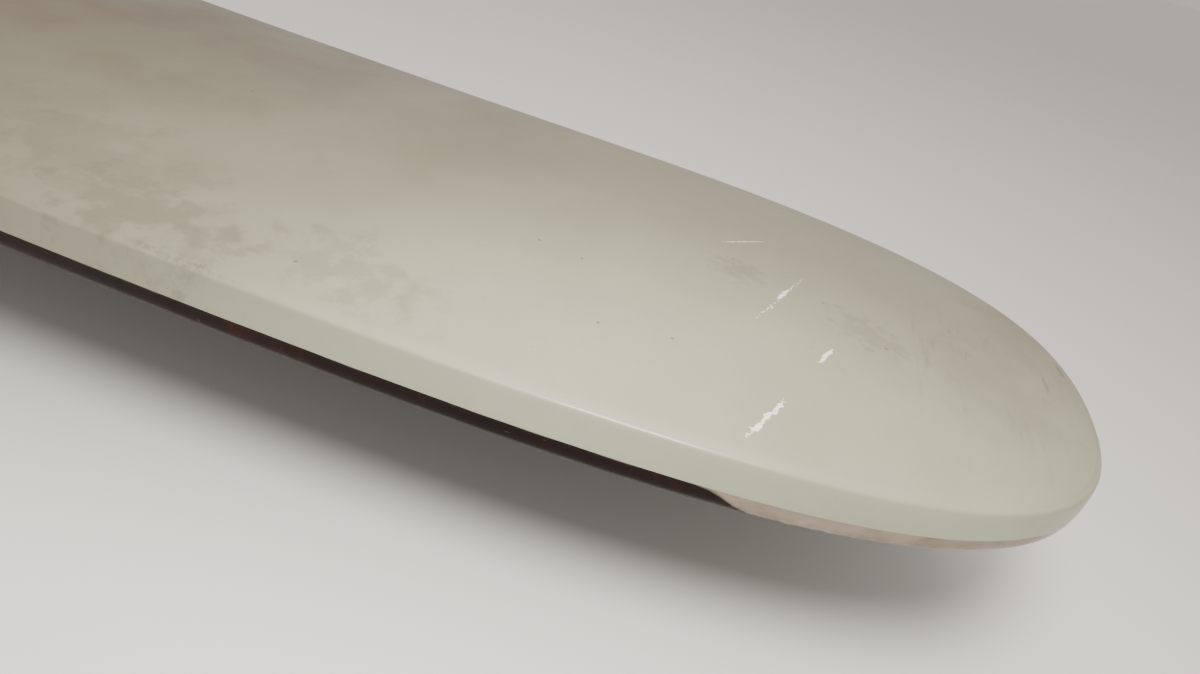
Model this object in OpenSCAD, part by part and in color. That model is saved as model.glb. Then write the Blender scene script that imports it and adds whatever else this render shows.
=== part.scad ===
// Longboard surfboard, about 9 ft: two foam halves glued to a wooden stringer, glass
// laminations lapped on the rail, a sliding centre fin, two side fins and a leash cup.
// +X is the nose, +Z the deck. The origin is on the bottom, at the stringer, mid-length.

/* [Outline] */
// Length over nose and tail
board_length = 2740; // [2200:10:3300]
// Width at the wide point
board_width = 570; // [460:5:690]
// Distance from the nose to the wide point
nose_run = 1300; // [1050:10:1560]
// Fullness of the nose outline, higher is fuller
nose_fullness = 6.4; // [4:0.1:8]
// Bluntness of the nose tip, higher is blunter
nose_bluntness = 2.68; // [2:0.02:3.4]
// Width that the tail outline runs out to
tail_block = 150; // [120:5:200]
// Radius of the two tail corners
tail_corner = 25; // [15:1:35]

/* [Foil] */
// Rail height from the bottom to the deck edge, at mid-length
rail_height = 57; // [47:1:69]
// Rise of the deck from its edge to the stringer
deck_crown = 25; // [15:1:32]
// Lift of the bottom at the nose
nose_rocker = 24; // [15:1:60]
// Lift of the bottom at the tail
tail_rocker = 50; // [25:1:70]
// Length of the flat stretch in the middle of the bottom
flat_run = 320; // [200:10:480]
// Share of the rail height lost at the nose tip
nose_thinning = 0.27; // [0.2:0.01:0.45]
// Share of the rail height lost at the tail
tail_thinning = 0.5; // [0.3:0.01:0.55]

/* [Construction] */
// Thickness of each glass lamination
skin = 1; // [0.8:0.1:1.3]
// Width of the wooden stringer
stringer_width = 5; // [3:0.5:8]
// Thickness of the glass patch round the centre fin box
patch_thickness = 0.6; // [0.4:0.1:0.9]
// Gap between parts that slide in or into each other, on each side
slide_gap = 0.2; // [0.1:0.05:0.4]

/* [Centre fin box] */
// Distance from the tail to the middle of the box
box_setback = 270; // [240:5:320]
// Length of the box
box_length = 285; // [240:5:340]
// Width of the box
box_width = 26; // [22:1:32]
// Depth of the box into the foam
box_depth = 24; // [23:0.5:29]
// Width of the slot that the fin stands in
slot_width = 9.6; // [8:0.2:11.2]
// Wall left at each end of the slot
box_end_wall = 10; // [8:1:14]

/* [Centre fin] */
// Depth of the fin below the board
fin_depth = 215; // [150:5:260]
// Length of the fin at its base
fin_base = 150; // [125:5:180]
// Distance that the tip sweeps back behind the base
fin_rake = 120; // [60:5:160]

/* [Side fins] */
// Distance from the tail to the middle of a side fin
side_setback = 400; // [350:5:480]
// Distance of a side fin from the stringer
side_spread = 140; // [110:5:145]
// Depth of a side fin below the board
side_depth = 95; // [70:5:120]
// Length of a side fin at its base
side_base = 92; // [86:1:110]
// Angle that a side fin leans outward
side_cant = 5; // [0:1:8]
// Angle that a side fin points in at its front
side_toe = 2; // [0:0.5:4]

/* [Leash cup] */
// Distance from the tail to the leash cup
cup_setback = 125; // [95:5:160]
// Distance of the cup from the stringer
cup_offset = 24; // [21:1:32]
// Outer radius of the cup
cup_radius = 14; // [12:0.5:17]
// Depth of the cup
cup_depth = 18; // [15:0.5:22]

/* [Hidden] */
$fn = 48;
half_length = board_length / 2;
half_stringer = stringer_width / 2;
tail_run = board_length - nose_run;
wide_x = half_length - nose_run;
through = 200;

// ---------- outline, rocker and thickness along the board ----------
tip_flat = 0.8;
taper_width = 140;
function nose_half(s) =
    board_width / 2 * pow(1 - pow(1 - s / nose_run, nose_fullness), 1 / nose_bluntness);
function tail_edge(s) =
    tail_block / 2 + (board_width - tail_block) / 2 * (1 - pow(1 - s / tail_run, 3));
function tail_half(s) =
    s < tail_corner
    ? tail_edge(tail_corner) - tail_corner + sqrt(pow(tail_corner, 2) - pow(tail_corner - s, 2))
    : tail_edge(s);
function half_width(x) =
    x > wide_x ? nose_half(max(half_length - x, tip_flat)) : tail_half(max(x + half_length, 0));
function rise(x, height, power) =
    height * pow(max(x - flat_run / 2, 0) / (half_length - flat_run / 2), power);
function rocker(x) = rise(x, nose_rocker, 2.6) + rise(-x, tail_rocker, 2.3);

nose_thin_run = 500;
tail_thin_run = 520;
function thinning(s, share, run) = share * pow(1 - min(s / run, 1), 2);
function thickness_share(x) =
    1 - thinning(half_length - x, nose_thinning, nose_thin_run)
      - thinning(half_length + x, tail_thinning, tail_thin_run);

// The ends are rounded over their last few millimetres.
end_round = 12;
end_flatten = 0.3;
function end_share(x) = 1 - thinning(half_length - abs(x), end_flatten, end_round);

// ---------- cross-section, from the bottom centre round the rail to the deck centre ----------
// Points on the bottom and on the deck, as shares of the half width
bottom_vee = 0.3;
vee_run = 300;
function vee(x) = bottom_vee * min(1, max(abs(x) - flat_run / 2, 0) / vee_run);
bottom_flat = 0.45;
bottom_roll = [0.75, 0.008];
deck_shares = [0.88, 0.7, 0.45];
// Points on the rail: inset from the outline in mm, and height as a share of the rail height
rail_points = [
    [28, 0.015], [9, 0.04], [3, 0.09], [0.6, 0.19], [0.1, 0.4], [0, 0.53],
    [0.3, 0.71], [0.5, 0.88], [1.2, 0.96], [5, 1]
];
lap_point = 7;
last_point = 2 + len(rail_points) + len(deck_shares) + 1;
edge_inset = rail_points[len(rail_points) - 1].x;

function inset_scale(x) = thickness_share(x) * min(1, half_width(x) / taper_width);
function deck_edge(x) = half_width(x) - edge_inset * inset_scale(x);
function crown(x, y) =
    deck_crown * pow(half_width(x) / (board_width / 2), 1.5) * (1 - pow(y / deck_edge(x), 2));
function raw_section(x) =
    let (w = half_width(x), h = rail_height * thickness_share(x))
    concat(
        [[half_stringer, 0], [bottom_flat * w, vee(x)], [bottom_roll.x * w, bottom_roll.y * h]],
        [for (p = rail_points) [w - p.x * inset_scale(x), p.y * h]],
        [for (f = deck_shares) [f * deck_edge(x), h + crown(x, f * deck_edge(x))]],
        [[half_stringer, h + crown(x, half_stringer)]]
    );
function outer_section(x) =
    let (m = rail_height * thickness_share(x) / 2)
    [for (p = raw_section(x)) [p.x, rocker(x) + m + (p.y - m) * end_share(x)]];

// The same section moved in by the skin, so that the foam and the glass meet face to face
function outline_slope(x) = (half_width(x + 0.5) - half_width(x - 0.5));
function inner_section(x) =
    let (p = outer_section(x), stretch = min(3, norm([1, outline_slope(x)])))
    [for (i = [0 : last_point])
        let (t = p[min(i + 1, last_point)] - p[max(i - 1, 0)],
             n = i == 0 ? [0, 1] : i == last_point ? [0, -1] : [-t.y * stretch, t.x] / norm(t))
        p[i] + skin * n];

// ---------- stations along the board, from the tail to the nose ----------
tail_zone = 400;
nose_zone = 420;
mid_spacing = 90;
corner_steps = 4;
tail_steps = 8;
nose_steps = 14;
mid_start = tail_zone - half_length;
mid_end = half_length - nose_zone;
mid_steps = ceil((mid_end - mid_start) / mid_spacing);
stations = concat(
    [for (i = [0 : corner_steps - 1]) -half_length + tail_corner * (1 - cos(90 * i / corner_steps))],
    [for (i = [0 : tail_steps - 1])
        -half_length + tail_corner + (tail_zone - tail_corner) * pow(i / tail_steps, 1.3)],
    [for (i = [0 : mid_steps - 1]) mid_start + (mid_end - mid_start) * i / mid_steps],
    [for (i = [nose_steps : -1 : 0]) half_length - nose_zone * pow(i / nose_steps, 2)]
);
last_station = len(stations) - 1;
function inner_x(i) =
    i == 0 ? stations[i] + skin : i == last_station ? stations[i] - skin : stations[i];

function to_side(x, section, side, from, to) =
    [for (j = [from : to]) [x, side * section[j].x, section[j].y]];
function outer_points(side, from, to) =
    [for (x = stations) each to_side(x, outer_section(x), side, from, to)];
function inner_points(side, from, to) =
    [for (i = [0 : last_station])
        each to_side(inner_x(i), inner_section(stations[i]), side, from, to)];

bottom_line = [for (x = stations) [x, rocker(x)]];
foam_bottom_line = [for (i = [0 : last_station]) [inner_x(i), inner_section(stations[i])[0].y]];
foam_deck_line =
    [for (i = [0 : last_station]) [inner_x(i), inner_section(stations[i])[last_point].y]];

// ---------- faces ----------
function turn(face, flip) = flip ? [for (i = [len(face) - 1 : -1 : 0]) face[i]] : face;
// Two triangles for each cell of a grid of points, always cut along the same diagonal
function grid_faces(base, columns, flip) =
    [for (i = [0 : last_station - 1], j = [0 : columns - 2])
        let (a = base + i * columns + j, b = a + columns)
        each [turn([a, b, b + 1], flip), turn([a, b + 1, a + 1], flip)]];
// Triangles between one column of a grid and one column of another
function seam_faces(base_a, base_b, column, columns, flip) =
    [for (i = [0 : last_station - 1])
        let (a = base_a + i * columns + column, b = base_b + i * columns + column)
        each [turn([a, a + columns, b + columns], flip), turn([a, b + columns, b], flip)]];
function run(start, count) = [for (j = [0 : count - 1]) start + j];

// The left half of the foam, in the space inside the skin
module foam_half() {
    columns = last_point + 1;
    first = last_station * columns;
    polyhedron(inner_points(1, 0, last_point), concat(
        grid_faces(0, columns, true),
        [turn(run(0, columns), true), run(first, columns)],
        [for (i = [0 : last_station - 1])
            let (a = i * columns, b = a + columns)
            each [turn([a, b, b + last_point], true), turn([a, b + last_point, a + last_point], true)]]
    ), convexity = 4);
}

// One glass lamination over both halves, from section point "from" to section point "to".
// "lap" is the column at its free edge, "mid" the column beside the stringer.
module lamination(from, to, lap, mid) {
    columns = to - from + 1;
    grid = columns * (last_station + 1);
    last = last_station * columns;
    upper = lap == 0;
    ends = [0, last];
    polyhedron(
        concat(outer_points(1, from, to), outer_points(-1, from, to),
               inner_points(1, from, to), inner_points(-1, from, to)),
        concat(
            grid_faces(0, columns, true), grid_faces(grid, columns, false),
            grid_faces(2 * grid, columns, false), grid_faces(3 * grid, columns, true),
            seam_faces(0, grid, mid, columns, upper),
            seam_faces(2 * grid, 3 * grid, mid, columns, !upper),
            seam_faces(0, 2 * grid, lap, columns, !upper),
            seam_faces(grid, 3 * grid, lap, columns, upper),
            [for (e = ends) turn(concat(run(e, columns), turn(run(grid + e, columns), true)), e == 0)],
            [for (e = ends)
                turn(concat(run(2 * grid + e, columns), turn(run(3 * grid + e, columns), true)), e > 0)],
            [for (e = ends)
                turn([e + lap, grid + e + lap, 3 * grid + e + lap, 2 * grid + e + lap],
                     (e == 0) == upper)]
        ), convexity = 6);
}

// ---------- places on the bottom and the deck ----------
function bottom_tilt(x) = atan2(lookup(x + 70, bottom_line) - lookup(x - 70, bottom_line), 140);
module on_bottom(x, y = 0, turn_z = 0, lift = 0) {
    translate([x, y, lookup(x, bottom_line) + lift])
        rotate([0, -bottom_tilt(x), turn_z]) children();
}

// A strip that follows the bottom from x1 to x2, between two offsets from it
module bottom_strip(x1, x2, low, high, width) {
    line = concat([x1], [for (x = stations) if (x > x1 && x < x2) x], [x2]);
    rotate([90, 0, 0]) linear_extrude(width, center = true)
        polygon(concat([for (x = line) [x, lookup(x, bottom_line) + low]],
                       [for (i = [len(line) - 1 : -1 : 0])
                           [line[i], lookup(line[i], bottom_line) + high]]));
}

module oblong(length, width, height) {
    linear_extrude(height) {
        square([length - width, width], center = true);
        for (s = [-1, 1]) translate([s * (length - width) / 2, 0]) circle(width / 2);
    }
}

// ---------- centre fin box ----------
box_x = -half_length + box_setback;
slot_length = box_length - 2 * box_end_wall;
slot_depth = 20;
channel_side = 2;
channel_width = slot_width + 2 * channel_side;
channel_low = 9;
channel_high = 14.4;
notch_length = 15;
patch_margin = 28;
patch_width = 1.8 * bottom_flat * half_width(box_x - box_length / 2 - patch_margin);

module box_pocket() {
    on_bottom(box_x) translate([0, 0, -10]) oblong(box_length, box_width, box_depth + 10);
}

module slab(length, width, low, high) {
    translate([-length / 2, -width / 2, low]) cube([length, width, high - low]);
}

module fin_box() {
    color("gainsboro") difference() {
        intersection() {
            box_pocket();
            bottom_strip(box_x - box_length, box_x + box_length, -patch_thickness, 3 * box_depth,
                         2 * box_width);
        }
        on_bottom(box_x) {
            slab(slot_length, slot_width, -10, slot_depth);
            slab(slot_length, channel_width, channel_low, channel_high);
            slab(notch_length, channel_width, -10, channel_high);
        }
    }
}

module fin_patch() {
    reach = box_length / 2 + patch_margin;
    color("lightgray") difference() {
        bottom_strip(box_x - reach, box_x + reach, -patch_thickness, 0, patch_width);
        box_pocket();
    }
}

// ---------- fins ----------
// Half thickness of the foil at a share u of the chord, from the leading edge
edge_half = 0.35;
function foil(u) = pow(u, 0.5) * pow(1 - u, 0.9) / 0.4016;
foil_shares = [0, 0.02, 0.06, 0.14, 0.26, 0.4, 0.55, 0.7, 0.84, 0.94, 1];
blade_steps = 14;
tip_start = 0.8;
function lead_x(h, base, rake) = base / 2 - (base * 0.78 + rake * 0.5) * pow(h, 1.6);
function trail_x(h, base, rake) = -base / 2 - rake * 0.62 * sin(90 * h);
function tip_share(h) = h < tip_start ? 1 : sqrt(1.004 - pow((h - tip_start) / (1 - tip_start), 2));
function blade_ring(h, base, depth, rake, thick) =
    let (mid = (lead_x(h, base, rake) + trail_x(h, base, rake)) / 2,
         chord = (lead_x(h, base, rake) - trail_x(h, base, rake)) * tip_share(h),
         edge = edge_half * (1 - 0.4 * h),
         half = (thick / 2 - edge) * (1 - 0.7 * h) * sqrt(tip_share(h)))
    concat(
        [for (u = foil_shares) [mid + chord * (0.5 - u), edge + half * foil(u), -h * depth]],
        [for (i = [len(foil_shares) - 1 : -1 : 0])
            [mid + chord * (0.5 - foil_shares[i]), -edge - half * foil(foil_shares[i]), -h * depth]]
    );

module blade(base, depth, rake, thick) {
    columns = 2 * len(foil_shares);
    polyhedron(
        [for (i = [0 : blade_steps]) each blade_ring(sin(90 * i / blade_steps), base, depth, rake, thick)],
        concat(
            [for (i = [0 : blade_steps - 1], j = [0 : columns - 1])
                let (a = i * columns + j, b = i * columns + (j + 1) % columns)
                each [[a, b, b + columns], [a, b + columns, a + columns]]],
            [turn(run(0, columns), true), run(blade_steps * columns, columns)]
        ), convexity = 3);
}

// Centre fin: a tab in the slot, with a screw foot at the front and a cross pin at the back
tab_width = slot_width - 2 * slide_gap;
tab_height = slot_depth - 1;
foot_length = 27;
foot_low = 1.5;
foot_high = 7;
blade_drop = patch_thickness + 0.4;
root_bury = 0.8;
screw_x = fin_base / 2 - 13;
screw_radius = 2;
head_radius = 3.6;
head_height = 2.3;
head_gap = 0.1;
head_low = foot_low - head_gap - head_height;
screw_top = 17;
socket_radius = 1.6;
socket_depth = 1.5;
bore_gap = 0.25;
counterbore_gap = 0.35;
plate_size = channel_width - 1;
plate_height = 2.4;
plate_low = channel_low + 0.05;
pin_x = -fin_base / 2 + 9;
pin_z = (channel_low + channel_high) / 2;
pin_radius = 2;
pin_length = channel_width - 2 * 0.3;

module cross_pin() {
    translate([pin_x, 0, pin_z]) rotate([90, 0, 0]) cylinder(pin_length, r = pin_radius, center = true);
}

module centre_fin() {
    color("saddlebrown") on_bottom(box_x) difference() {
        union() {
            translate([0, 0, root_bury - blade_drop])
                blade(fin_base - 2, fin_depth, fin_rake, tab_width - 0.6);
            slab(fin_base, tab_width, -blade_drop, foot_high);
            translate([-fin_base / 2, -tab_width / 2, foot_high])
                cube([fin_base - foot_length, tab_width, tab_height - foot_high]);
        }
        translate([screw_x, 0, -blade_drop - 1]) {
            cylinder(tab_height, r = screw_radius + bore_gap);
            cylinder(blade_drop + 1 + foot_low, r = head_radius + counterbore_gap);
        }
        cross_pin();
    }
}

module fin_cross_pin() {
    color("silver") on_bottom(box_x) cross_pin();
}

module fin_screw() {
    color("silver") on_bottom(box_x) translate([screw_x, 0, head_low]) difference() {
        union() {
            cylinder(head_height, r = head_radius);
            cylinder(screw_top - head_low, r = screw_radius);
        }
        translate([0, 0, -1]) cylinder(1 + socket_depth, r = socket_radius, $fn = 6);
    }
}

module fin_plate() {
    color("silver") on_bottom(box_x) translate([screw_x, 0, 0]) difference() {
        slab(plate_size, plate_size, plate_low, plate_low + plate_height);
        cylinder(through, r = screw_radius + 0.05);
    }
}

// Side fins: a tab in a short box, held by two slanted grub screws on the outer side
side_x = -half_length + side_setback;
side_lift = bottom_roll.y * rail_height * (side_spread / half_width(side_x) - bottom_flat)
            / (bottom_roll.x - bottom_flat);
side_box_margin = 11;
side_box_length = side_base + 2 * side_box_margin;
side_box_width = 22;
side_box_depth = 15;
side_tab_length = side_base - 12;
side_tab_width = 6;
side_tab_height = 12;
side_shoulder = 1.5;
grub_pitch = side_tab_length * 0.6;
grub_radius = 2;
grub_length = 9;
grub_tilt = 22;
grub_mouth = 6.8;
grub_low = 0.8;
grub_socket = 1.2;
grub_socket_depth = 2.5;

module on_side(side) {
    on_bottom(side_x, side * side_spread, -side * side_toe, side_lift) mirror([0, side < 0 ? 1 : 0, 0])
        children();
}

module side_pocket(side) {
    on_side(side) translate([0, 0, -10]) oblong(side_box_length, side_box_width, side_box_depth + 10);
}

module grubs(extra = 0) {
    for (s = [-1, 1]) translate([s * grub_pitch / 2, grub_mouth, grub_low]) rotate([grub_tilt, 0, 0])
        translate([0, 0, -extra]) cylinder(grub_length + extra, r = grub_radius);
}

module side_box(side) {
    color("gainsboro") difference() {
        intersection() {
            side_pocket(side);
            translate([0, side * side_spread, side_lift])
                bottom_strip(side_x - side_box_length, side_x + side_box_length, 0, 3 * side_box_depth,
                             2 * side_box_width);
        }
        on_side(side) {
            slab(side_tab_length + 2 * slide_gap, side_tab_width + 2 * slide_gap, -10,
                 side_tab_height + slide_gap);
            grubs(8);
        }
    }
}

module side_fin(side) {
    drop = 0.5;
    color("black") on_side(side) difference() {
        union() {
            translate([0, 0, root_bury - drop - side_shoulder]) rotate([side_cant, 0, 0])
                blade(side_base - 2, side_depth, side_base * 0.75, side_tab_width - 1);
            slab(side_base, side_tab_width, -drop - side_shoulder, -drop);
            slab(side_tab_length, side_tab_width, -drop - side_shoulder / 2, side_tab_height);
        }
        grubs();
    }
}

module side_fin_box_left() side_box(1);
module side_fin_box_right() side_box(-1);
module side_fin_left() side_fin(1);
module side_fin_right() side_fin(-1);
module side_fin_screws() {
    color("silver") for (side = [-1, 1]) on_side(side) difference() {
        grubs();
        for (s = [-1, 1]) translate([s * grub_pitch / 2, grub_mouth, grub_low]) rotate([grub_tilt, 0, 0])
            translate([0, 0, -1]) cylinder(1 + grub_socket_depth, r = grub_socket, $fn = 6);
    }
}

// ---------- leash cup ----------
cup_x = -half_length + cup_setback;
cup_wall = 1.8;
cup_floor = 2;
bar_radius = 1.6;
bar_drop = 7;
bar_seat = 1;
function deck_height(x) =
    let (near = deck_shares[len(deck_shares) - 1] * deck_edge(x), s = outer_section(x),
         share = (cup_offset - half_stringer) / (near - half_stringer))
    s[last_point].y * (1 - share) + s[last_point - 1].y * share;
deck_tilt = atan2(deck_height(cup_x + 40) - deck_height(cup_x - 40), 80);

module in_cup() {
    translate([cup_x, cup_offset, deck_height(cup_x) - 0.2]) rotate([0, -deck_tilt, 0]) children();
}

module cup_pocket(extra = 10) {
    in_cup() translate([0, 0, -cup_depth]) cylinder(cup_depth + extra, r = cup_radius);
}

module bar() {
    translate([0, 0, -bar_drop]) rotate([90, 0, 0])
        cylinder(2 * (cup_radius - bar_seat), r = bar_radius, center = true);
}

module leash_cup() {
    color("white") difference() {
        cup_pocket(0);
        in_cup() {
            translate([0, 0, cup_floor - cup_depth]) cylinder(through, r = cup_radius - cup_wall);
            bar();
        }
    }
}

module leash_bar() {
    color("silver") in_cup() bar();
}

// ---------- board ----------
module foam_blank_left() {
    color("ivory") difference() {
        foam_half();
        box_pocket();
        side_pocket(1);
        cup_pocket();
    }
}

module foam_blank_right() {
    color("ivory") mirror([0, 1, 0]) difference() {
        foam_half();
        box_pocket();
        side_pocket(1);
    }
}

module stringer() {
    color("burlywood") difference() {
        rotate([90, 0, 0]) linear_extrude(stringer_width, center = true)
            polygon(concat(foam_bottom_line, turn(foam_deck_line, true)));
        box_pocket();
    }
}

module deck_lamination() {
    color("whitesmoke") difference() {
        lamination(lap_point, last_point, 0, last_point - lap_point);
        cup_pocket();
    }
}

module bottom_lamination() {
    color("maroon") difference() {
        lamination(0, lap_point, lap_point, 0);
        box_pocket();
        side_pocket(1);
        side_pocket(-1);
    }
}

foam_blank_left();
foam_blank_right();
stringer();
deck_lamination();
bottom_lamination();
fin_patch();
fin_box();
centre_fin();
fin_cross_pin();
fin_screw();
fin_plate();
side_fin_box_left();
side_fin_box_right();
side_fin_left();
side_fin_right();
side_fin_screws();
leash_cup();
leash_bar();
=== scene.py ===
import math

import bmesh
import bpy
import numpy as np
from mathutils import Matrix, Vector
from mathutils.kdtree import KDTree


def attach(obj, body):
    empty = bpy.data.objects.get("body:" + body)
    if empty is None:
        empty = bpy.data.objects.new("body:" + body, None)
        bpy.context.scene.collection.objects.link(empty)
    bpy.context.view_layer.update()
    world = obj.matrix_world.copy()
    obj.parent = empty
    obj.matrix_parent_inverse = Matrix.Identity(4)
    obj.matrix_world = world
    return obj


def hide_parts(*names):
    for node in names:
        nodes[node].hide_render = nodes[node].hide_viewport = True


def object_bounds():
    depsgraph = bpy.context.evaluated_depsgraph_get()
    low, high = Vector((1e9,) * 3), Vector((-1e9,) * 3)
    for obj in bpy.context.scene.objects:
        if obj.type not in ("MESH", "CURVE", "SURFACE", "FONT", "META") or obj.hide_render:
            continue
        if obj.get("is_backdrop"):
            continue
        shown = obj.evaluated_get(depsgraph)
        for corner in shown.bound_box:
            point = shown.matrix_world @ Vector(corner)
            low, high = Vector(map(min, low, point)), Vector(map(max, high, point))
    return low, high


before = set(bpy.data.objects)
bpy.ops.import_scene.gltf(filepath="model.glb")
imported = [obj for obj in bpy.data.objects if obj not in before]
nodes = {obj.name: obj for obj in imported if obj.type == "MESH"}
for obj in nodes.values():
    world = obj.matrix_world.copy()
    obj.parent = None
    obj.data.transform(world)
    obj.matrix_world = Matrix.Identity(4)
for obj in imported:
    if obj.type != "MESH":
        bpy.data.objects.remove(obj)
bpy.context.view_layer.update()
print("frame loaded:", len(nodes), "nodes")

# +X is the nose, +Z the deck, and the near rail is at -Y. Lengths are in metres.
mm = 0.001


# Board shape
boardShape = {
    "halfLength": 1.370,
    "halfWidth": 0.285,
    "noseRun": 1.300,
    "noseFullness": 6.4,
    "noseBluntness": 2.68,
    "tailBlock": 0.075,      # half width that the tail outline runs out to
    "tailCorner": 0.025,
    "railHeight": 0.057,
    "deckCrown": 0.025,
    "noseRocker": 0.024,
    "tailRocker": 0.050,
    "flatHalf": 0.160,
    "noseThinning": 0.27,
    "noseThinRun": 0.500,
    "tailThinning": 0.5,
    "tailThinRun": 0.520,
    "bottomVee": 0.0003,
    "skin": 0.001,
}
# Rail from the bottom up to the deck edge: inset from the outline in mm, share of the height
crispRail = [
    (28, 0.015), (9, 0.04), (3, 0.09), (0.6, 0.19), (0.1, 0.4), (0, 0.53),
    (0.3, 0.71), (0.5, 0.88), (1.2, 0.96), (5, 1.0),
]
softRail = [
    (28, 0.015), (10, 0.045), (4, 0.11), (1.2, 0.22), (0.3, 0.4), (0.2, 0.53),
    (0.8, 0.70), (2.2, 0.86), (4.6, 0.95), (10.5, 1.0),
]
lapPoint = 4          # the lap line runs along this rail point
stepsPerPoint = 4


def smoothStep(value, low, high):
    share = np.clip((value - low) / (high - low), 0, 1)
    return share * share * (3 - 2 * share)


def halfWidthAt(x):
    shape = boardShape
    fromNose = np.maximum(shape["halfLength"] - x, 1e-7)
    fromTail = np.maximum(shape["halfLength"] + x, 0)
    noseShare = 1 - np.clip(1 - fromNose / shape["noseRun"], 0, 1) ** shape["noseFullness"]
    nose = shape["halfWidth"] * noseShare ** (1 / shape["noseBluntness"])
    tailRun = 2 * shape["halfLength"] - shape["noseRun"]
    corner = shape["tailCorner"]

    def tailEdge(distance):
        reach = 1 - np.clip(1 - distance / tailRun, 0, 1) ** 3
        return shape["tailBlock"] + (shape["halfWidth"] - shape["tailBlock"]) * reach

    inCorner = corner - np.minimum(fromTail, corner)
    rounded = tailEdge(corner) - corner + np.sqrt(corner ** 2 - inCorner ** 2)
    tail = np.where(fromTail < corner, rounded, tailEdge(fromTail))
    return np.where(fromNose < shape["noseRun"], nose, tail)


def rockerAt(x):
    shape = boardShape
    span = shape["halfLength"] - shape["flatHalf"]
    noseRise = shape["noseRocker"] * (np.maximum(x - shape["flatHalf"], 0) / span) ** 2.6
    tailRise = shape["tailRocker"] * (np.maximum(-x - shape["flatHalf"], 0) / span) ** 2.3
    return noseRise + tailRise


def thicknessShareAt(x):
    shape = boardShape
    nearNose = 1 - np.clip((shape["halfLength"] - x) / shape["noseThinRun"], 0, 1)
    nearTail = 1 - np.clip((shape["halfLength"] + x) / shape["tailThinRun"], 0, 1)
    return 1 - shape["noseThinning"] * nearNose ** 2 - shape["tailThinning"] * nearTail ** 2


def bottomAt(x, y):
    width = np.maximum(halfWidthAt(x), 1e-4)
    across = np.clip(np.abs(y) / width, 0, 1)
    veeRun = np.clip((np.abs(x) - boardShape["flatHalf"]) / 0.3, 0, 1)
    vee = boardShape["bottomVee"] * veeRun * np.minimum(across / 0.45, 1)
    roll = 0.008 * boardShape["railHeight"] * smoothStep(across, 0.45, 0.85)
    return rockerAt(x) + vee + roll


def deckAt(x, y):
    width = halfWidthAt(x)
    share = thicknessShareAt(x)
    edge = np.maximum(width - 0.005 * share, 1e-3)
    across = np.clip(np.abs(y) / edge, 0, 1)
    crown = boardShape["deckCrown"] * (width / boardShape["halfWidth"]) ** 1.5 * (1 - across ** 2)
    return rockerAt(x) + boardShape["railHeight"] * share + crown


def halfOutline():
    # One half from the nose tip round to the middle of the tail, evenly dense
    shape = boardShape
    tipY = np.linspace(0, 0.2, 1200)
    fill = (tipY / shape["halfWidth"]) ** shape["noseBluntness"]
    tipX = shape["halfLength"] - shape["noseRun"] * (1 - (1 - fill) ** (1 / shape["noseFullness"]))
    sideX = np.linspace(tipX[-1] - 0.001, -shape["halfLength"] + shape["tailCorner"], 3000)
    sideY = halfWidthAt(sideX)
    turn = np.linspace(0, math.pi / 2, 80)[1:]
    cornerX = -shape["halfLength"] + shape["tailCorner"] * (1 - np.sin(turn))
    cornerY = sideY[-1] - shape["tailCorner"] * (1 - np.cos(turn))
    endY = np.linspace(cornerY[-1], 0, 60)[1:]
    xs = np.concatenate([tipX, sideX, cornerX, np.full(len(endY), -shape["halfLength"])])
    ys = np.concatenate([tipY, sideY, cornerY, endY])
    return np.stack([xs, ys], 1)


def resample(points, spacingAt):
    # Points along a line at a spacing that depends on the distance run so far
    lengths = np.concatenate([[0], np.cumsum(np.linalg.norm(np.diff(points, axis=0), axis=1))])
    stops = [0.0]
    while stops[-1] < lengths[-1]:
        stops.append(stops[-1] + spacingAt(stops[-1], lengths[-1]))
    stops = np.array(stops) * lengths[-1] / stops[-1]
    return np.stack([np.interp(stops, lengths, points[:, k]) for k in range(2)], 1), stops


def rowSpacing(run, total):
    fromEnd = total - run
    if 0.25 < run < 0.46:
        return 0.0024      # fine enough for the lap's wrinkles
    if run < 0.6 or fromEnd < 0.25:
        return 0.006
    return 0.013


def catmullRom(points, steps):
    padded = np.vstack([2 * points[0] - points[1], points, 2 * points[-1] - points[-2]])
    made = []
    for i in range(1, len(padded) - 2):
        before, start, end, after = padded[i - 1:i + 3]
        for u in np.arange(steps) / steps:
            made.append(0.5 * (2 * start + (end - before) * u
                               + (2 * before - 5 * start + 4 * end - after) * u ** 2
                               + (3 * start - before - 3 * end + after) * u ** 3))
    made.append(points[-1])
    return np.array(made)


def railProfile(points):
    height = 1000 * boardShape["railHeight"]
    metric = np.array([(inset, share * height) for inset, share in points])
    fine = catmullRom(metric, stepsPerPoint)
    return fine[:, 0] * mm, fine[:, 1] / height


denseOutline = halfOutline()
rows, rowRun = resample(denseOutline, rowSpacing)
tangent = np.gradient(rows, axis=0)
tangent[0] = (0, 1)
tangent[-1] = (0, -1)
tangent /= np.linalg.norm(tangent, axis=1)[:, None]
inward = np.stack([-tangent[:, 1], tangent[:, 0]], 1)
softness = 0.75 * (1 - smoothStep(rowRun, 0.25, 0.75))
railInset, railShare = [
    np.outer(1 - softness, crisp) + np.outer(softness, soft)
    for crisp, soft in zip(railProfile(crispRail), railProfile(softRail))
]
railInset *= thicknessShareAt(rows[:, 0])[:, None]
railX = rows[:, 0][:, None] + inward[:, 0][:, None] * railInset
railY = np.maximum(rows[:, 1][:, None] + inward[:, 1][:, None] * railInset, 0)
railX = np.clip(railX, -boardShape["halfLength"], boardShape["halfLength"])
edgeX, edgeY = railX[:, -1], railY[:, -1]
edgeBottom = bottomAt(edgeX, edgeY)
edgeHeight = deckAt(edgeX, edgeY) - edgeBottom
railZ = rockerAt(railX) + railShare * edgeHeight[:, None]
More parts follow.
